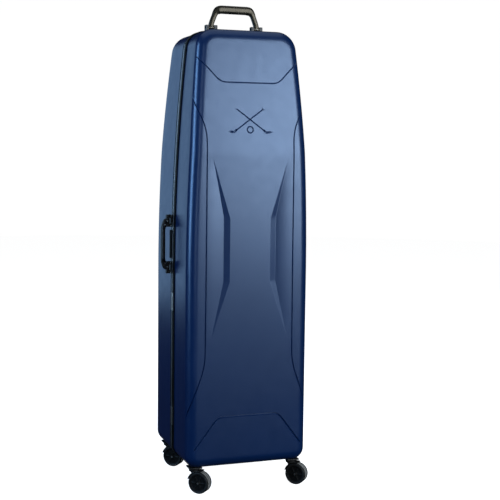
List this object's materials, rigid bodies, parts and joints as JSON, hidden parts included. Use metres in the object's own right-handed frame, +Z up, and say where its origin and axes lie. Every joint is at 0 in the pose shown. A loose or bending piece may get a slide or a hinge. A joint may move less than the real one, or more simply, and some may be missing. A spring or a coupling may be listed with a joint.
{
  "type": "golf travel case",
  "caption": "Tall hard-shell golf travel case: hinged half shells on aluminium frames, swivel casters, folding top and side carry handles, latches, a dial lock and inner straps.",
  "frame": {"origin": "bottom centre of the whole object's bounding box, on the floor", "axes": "+Z up, the front face looks along -Y, hinges and side handle on -X, latches on +X"},
  "size_m": [0.397, 0.3509, 1.35],
  "materials": {
    "shell": "satin pearl navy-blue moulded plastic",
    "aluminium": "satin extruded",
    "trim": "matt black edging",
    "seal": "matt black sponge rubber",
    "lining": "foam-backed woven lining",
    "webbing": "woven polyester webbing",
    "handle": "dark grey-olive moulded grip",
    "black_plastic": "satin black moulded plastic",
    "steel": "zinc-plated, satin",
    "wheel": "black wheel with a grey polyurethane tread"
  },
  "bodies": {
    "case_body": {"rear_shell": "shell", "rear_frame": "aluminium", "rear_edge_trim": "trim", "frame_seal": "seal", "rear_lining": "lining", "head_pad": "lining", "lower_strap": "webbing", "upper_strap": "webbing", "lower_buckle": "black_plastic", "upper_buckle": "black_plastic", "top_handle_foot_left": "black_plastic", "top_handle_foot_right": "black_plastic", "top_handle_plate": "steel", "side_handle_foot_lower": "black_plastic", "side_handle_foot_upper": "black_plastic", "side_handle_plate": "steel", "lower_hinge_rear_leaf": "steel", "upper_hinge_rear_leaf": "steel", "lower_hinge_pin": "steel", "upper_hinge_pin": "steel", "lower_latch_base": "steel", "upper_latch_base": "steel", "lock_body": "black_plastic", "rear_left_caster_housing": "black_plastic", "rear_right_caster_housing": "black_plastic"},
    "lid": {"front_shell": "shell", "front_frame": "aluminium", "front_edge_trim": "trim", "front_lining": "lining", "lower_hinge_front_leaf": "steel", "upper_hinge_front_leaf": "steel", "lower_latch_keeper": "steel", "upper_latch_keeper": "steel", "lock_hasp": "steel", "front_left_caster_housing": "black_plastic", "front_right_caster_housing": "black_plastic"},
    "top_handle": {"top_handle": "handle"},
    "side_handle": {"side_handle": "handle"},
    "lower_latch": {"lower_latch_lever": "steel"},
    "upper_latch": {"upper_latch_lever": "steel"},
    "lock_button": {"lock_button": "steel"},
    "dial_1": {"lock_dial_1": "steel"},
    "dial_2": {"lock_dial_2": "steel"},
    "dial_3": {"lock_dial_3": "steel"},
    "front_left_swivel": {"front_left_caster_fork": "black_plastic", "front_left_caster_axle": "steel"},
    "front_left_wheel_a": {"front_left_caster_wheel_a": "wheel"},
    "front_left_wheel_b": {"front_left_caster_wheel_b": "wheel"},
    "front_right_swivel": {"front_right_caster_fork": "black_plastic", "front_right_caster_axle": "steel"},
    "front_right_wheel_a": {"front_right_caster_wheel_a": "wheel"},
    "front_right_wheel_b": {"front_right_caster_wheel_b": "wheel"},
    "rear_left_swivel": {"rear_left_caster_fork": "black_plastic", "rear_left_caster_axle": "steel"},
    "rear_left_wheel_a": {"rear_left_caster_wheel_a": "wheel"},
    "rear_left_wheel_b": {"rear_left_caster_wheel_b": "wheel"},
    "rear_right_swivel": {"rear_right_caster_fork": "black_plastic", "rear_right_caster_axle": "steel"},
    "rear_right_wheel_a": {"rear_right_caster_wheel_a": "wheel"},
    "rear_right_wheel_b": {"rear_right_caster_wheel_b": "wheel"}
  },
  "joints": [
    {"name": "lid_hinge", "type": "hinge", "parent": "case_body", "child": "lid", "pos_m": [-0.1698, -0.0171, 0.355], "axis": [0, 0, -1], "range_deg": [0, 95]},
    {"name": "top_handle_pivot", "type": "hinge", "parent": "case_body", "child": "top_handle", "pos_m": [0.008, -0.00711, 1.2879], "axis": [-1, 0, 0], "range_deg": [0, 85]},
    {"name": "side_handle_pivot", "type": "hinge", "parent": "case_body", "child": "side_handle", "pos_m": [-0.1799, -0.00011, 0.681], "axis": [0, 0, -1], "range_deg": [0, 85]},
    {"name": "lower_latch_pivot", "type": "hinge", "parent": "case_body", "child": "lower_latch", "pos_m": [0.1925, 0.0149, 0.25], "axis": [0, 0, 1], "range_deg": [0, 100]},
    {"name": "upper_latch_pivot", "type": "hinge", "parent": "case_body", "child": "upper_latch", "pos_m": [0.18732, 0.0149, 0.86037], "axis": [-0.0407, 0, 0.9992], "range_deg": [0, 100]},
    {"name": "lock_button_press", "type": "slide", "parent": "case_body", "child": "lock_button", "axis": [-1, 0, 0], "range_m": [0, 0.0025], "stiffness_N_per_m": 400, "springref_m": -0.002},
    {"name": "dial_1_turn", "type": "hinge", "parent": "case_body", "child": "dial_1", "pos_m": [0.1929, -0.00011, 0.548], "axis": [0, 0, 1], "continuous": true},
    {"name": "dial_2_turn", "type": "hinge", "parent": "case_body", "child": "dial_2", "pos_m": [0.1929, -0.00011, 0.556], "axis": [0, 0, 1], "continuous": true},
    {"name": "dial_3_turn", "type": "hinge", "parent": "case_body", "child": "dial_3", "pos_m": [0.1929, -0.00011, 0.564], "axis": [0, 0, 1], "continuous": true},
    {"name": "front_left_swivel_turn", "type": "hinge", "parent": "lid", "child": "front_left_swivel", "pos_m": [-0.136, -0.13311, 0.066], "axis": [0, 0, 1], "continuous": true},
    {"name": "front_left_wheel_a_roll", "type": "hinge", "parent": "front_left_swivel", "child": "front_left_wheel_a", "pos_m": [-0.12294, -0.1455, 0.03], "axis": [0.6884, 0.7254, 0], "continuous": true},
    {"name": "front_left_wheel_b_roll", "type": "hinge", "parent": "front_left_swivel", "child": "front_left_wheel_b", "pos_m": [-0.12294, -0.1455, 0.03], "axis": [0.6884, 0.7254, 0], "continuous": true},
    {"name": "front_right_swivel_turn", "type": "hinge", "parent": "lid", "child": "front_right_swivel", "pos_m": [0.152, -0.13311, 0.066], "axis": [0, 0, 1], "continuous": true},
    {"name": "front_right_wheel_a_roll", "type": "hinge", "parent": "front_right_swivel", "child": "front_right_wheel_a", "pos_m": [0.16506, -0.1455, 0.03], "axis": [0.6884, 0.7254, 0], "continuous": true},
    {"name": "front_right_wheel_b_roll", "type": "hinge", "parent": "front_right_swivel", "child": "front_right_wheel_b", "pos_m": [0.16506, -0.1455, 0.03], "axis": [0.6884, 0.7254, 0], "continuous": true},
    {"name": "rear_left_swivel_turn", "type": "hinge", "parent": "case_body", "child": "rear_left_swivel", "pos_m": [-0.136, 0.13739, 0.066], "axis": [0, 0, 1], "continuous": true},
    {"name": "rear_left_wheel_a_roll", "type": "hinge", "parent": "rear_left_swivel", "child": "rear_left_wheel_a", "pos_m": [-0.12294, 0.125, 0.03], "axis": [0.6884, 0.7254, 0], "continuous": true},
    {"name": "rear_left_wheel_b_roll", "type": "hinge", "parent": "rear_left_swivel", "child": "rear_left_wheel_b", "pos_m": [-0.12294, 0.125, 0.03], "axis": [0.6884, 0.7254, 0], "continuous": true},
    {"name": "rear_right_swivel_turn", "type": "hinge", "parent": "case_body", "child": "rear_right_swivel", "pos_m": [0.152, 0.13739, 0.066], "axis": [0, 0, 1], "continuous": true},
    {"name": "rear_right_wheel_a_roll", "type": "hinge", "parent": "rear_right_swivel", "child": "rear_right_wheel_a", "pos_m": [0.16506, 0.125, 0.03], "axis": [0.6884, 0.7254, 0], "continuous": true},
    {"name": "rear_right_wheel_b_roll", "type": "hinge", "parent": "rear_right_swivel", "child": "rear_right_wheel_b", "pos_m": [0.16506, 0.125, 0.03], "axis": [0.6884, 0.7254, 0], "continuous": true}
  ]
}
